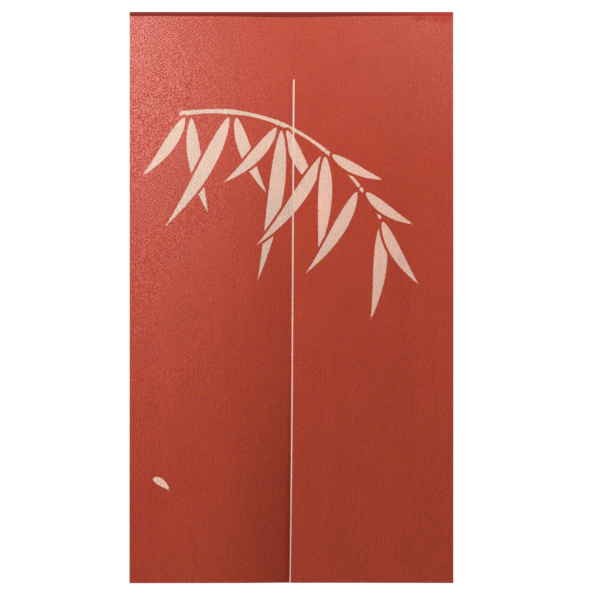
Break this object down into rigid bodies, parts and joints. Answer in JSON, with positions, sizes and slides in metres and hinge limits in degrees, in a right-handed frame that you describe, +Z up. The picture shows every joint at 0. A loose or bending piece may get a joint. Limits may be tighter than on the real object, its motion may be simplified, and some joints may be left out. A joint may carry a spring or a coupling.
{
  "type": "noren curtain",
  "caption": "Long split doorway curtain of dyed cloth, its hemmed panels joined above the slit and sewn to a flat rod sleeve.",
  "frame": {"origin": "middle of the top edge, at the fold of the rod sleeve and on the sleeve's middle plane", "axes": "+X to the right as seen from the front, +Y to the back, +Z up"},
  "size_m": [0.8506, 0.0524, 1.5],
  "materials": {
    "panel_cloth": "russet slubby crepe weave with a cream resist-dyed leaf spray",
    "heading_cloth": "the same russet cloth, smoother and in a deeper shade"
  },
  "bodies": {
    "root": {"left_panel": "panel_cloth", "right_panel": "panel_cloth", "heading": "heading_cloth"}
  },
  "joints": []
}
